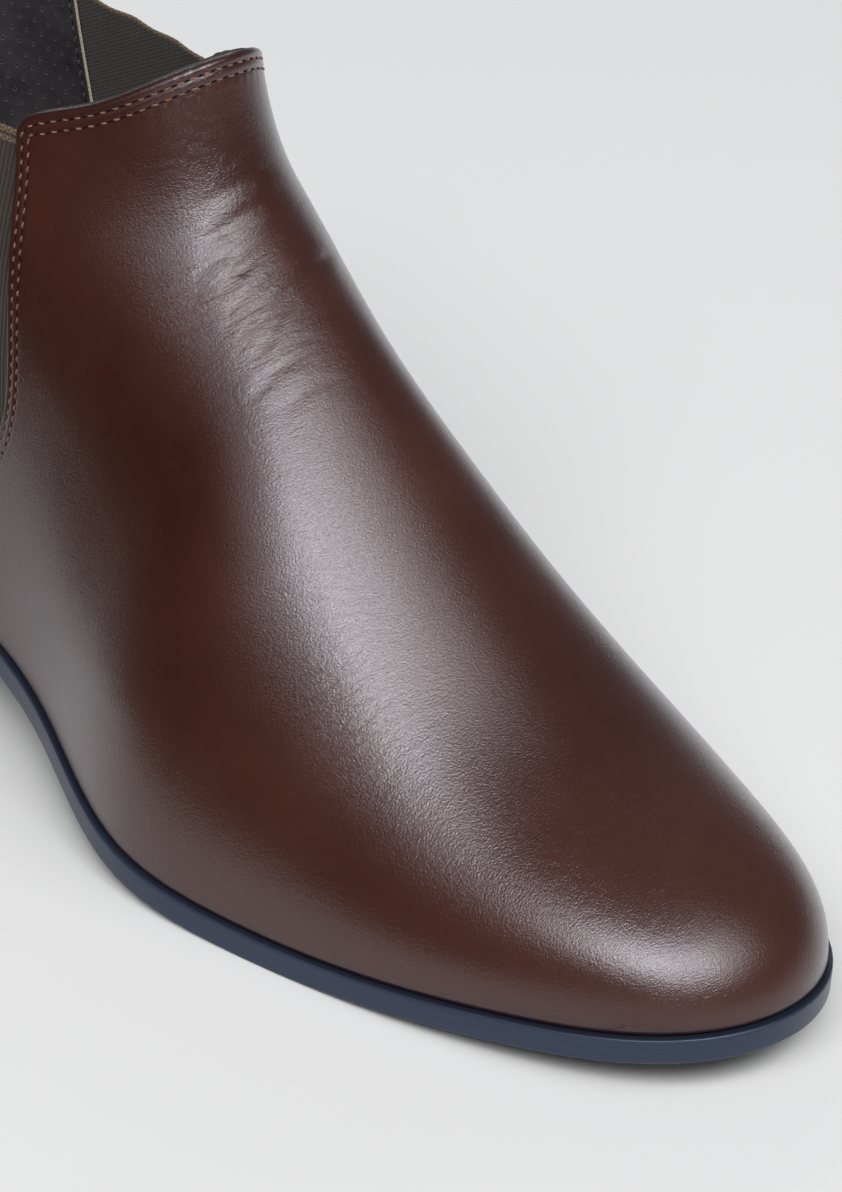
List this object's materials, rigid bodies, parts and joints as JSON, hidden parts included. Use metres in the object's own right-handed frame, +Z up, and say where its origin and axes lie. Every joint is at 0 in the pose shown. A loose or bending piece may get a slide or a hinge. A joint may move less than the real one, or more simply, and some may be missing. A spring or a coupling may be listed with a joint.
{
  "type": "chelsea boot",
  "caption": "Right-foot low chelsea boot: lasted brown leather upper, elastic side gores, pull loop, thin dark cemented sole with low stacked heel.",
  "frame": {"origin": "on the ground under the middle of the sole's length and width", "axes": "+X from heel to toe, +Z up, -Y the lateral (outer) side"},
  "size_m": [0.295, 0.109, 0.1766],
  "materials": {
    "upper_leather": "polished dark reddish brown calf, semi-gloss with fine grain",
    "lining_leather": "matt dark grey-brown, perforated in rows",
    "sock_leather": "matt dark brown",
    "elastic": "dark brown ribbed elastic weave with a lighter woven edge",
    "webbing": "dark brown ribbed webbing",
    "outsole": "smooth black, satin painted edge",
    "heel_stack": "stacked board and leather, black burnished edge",
    "heel_rubber": "black, moulded, satin",
    "nail_steel": "bright drawn wire",
    "shank_steel": "blued spring steel",
    "rivet_brass": "plain",
    "cork": "ground cork, granular",
    "insole_board": "fibre board",
    "foam": "open foam",
    "stiffener": "thermoplastic impregnated felt"
  },
  "bodies": {
    "foot": {"outsole": "outsole", "heel_lift_lower": "heel_stack", "heel_lift_middle": "heel_stack", "heel_lift_upper": "heel_stack", "top_piece": "heel_rubber", "heel_nails": "nail_steel", "top_piece_nails": "nail_steel", "shank": "shank_steel", "shank_rivets": "rivet_brass", "cork_filler": "cork", "insole": "insole_board", "heel_pad": "foam", "sock_liner": "sock_leather", "vamp": "upper_leather", "quarter_lower": "upper_leather", "vamp_lining": "lining_leather", "quarter_lining_lower": "lining_leather", "gore_lateral": "elastic", "gore_medial": "elastic", "toe_puff": "stiffener", "heel_counter": "stiffener"},
    "shaft_back": {"quarter_upper": "upper_leather", "quarter_lining_upper": "lining_leather", "pull_tab_anchor": "webbing"},
    "pull_tab": {"pull_tab_loop": "webbing"}
  },
  "joints": [
    {"name": "shaft_opening", "type": "hinge", "parent": "foot", "child": "shaft_back", "pos_m": [-0.14725, 0.00258, 0.066], "axis": [0, -1, 0], "range_deg": [0, 10], "stiffness_Nm_per_rad": 10, "deforming": ["gore_lateral", "gore_medial"]},
    {"name": "tab_fold", "type": "hinge", "parent": "shaft_back", "child": "pull_tab", "pos_m": [-0.13625, 0.00258, 0.1534], "axis": [0, -1, 0], "range_deg": [-35, 40], "stiffness_Nm_per_rad": 0.02}
  ]
}
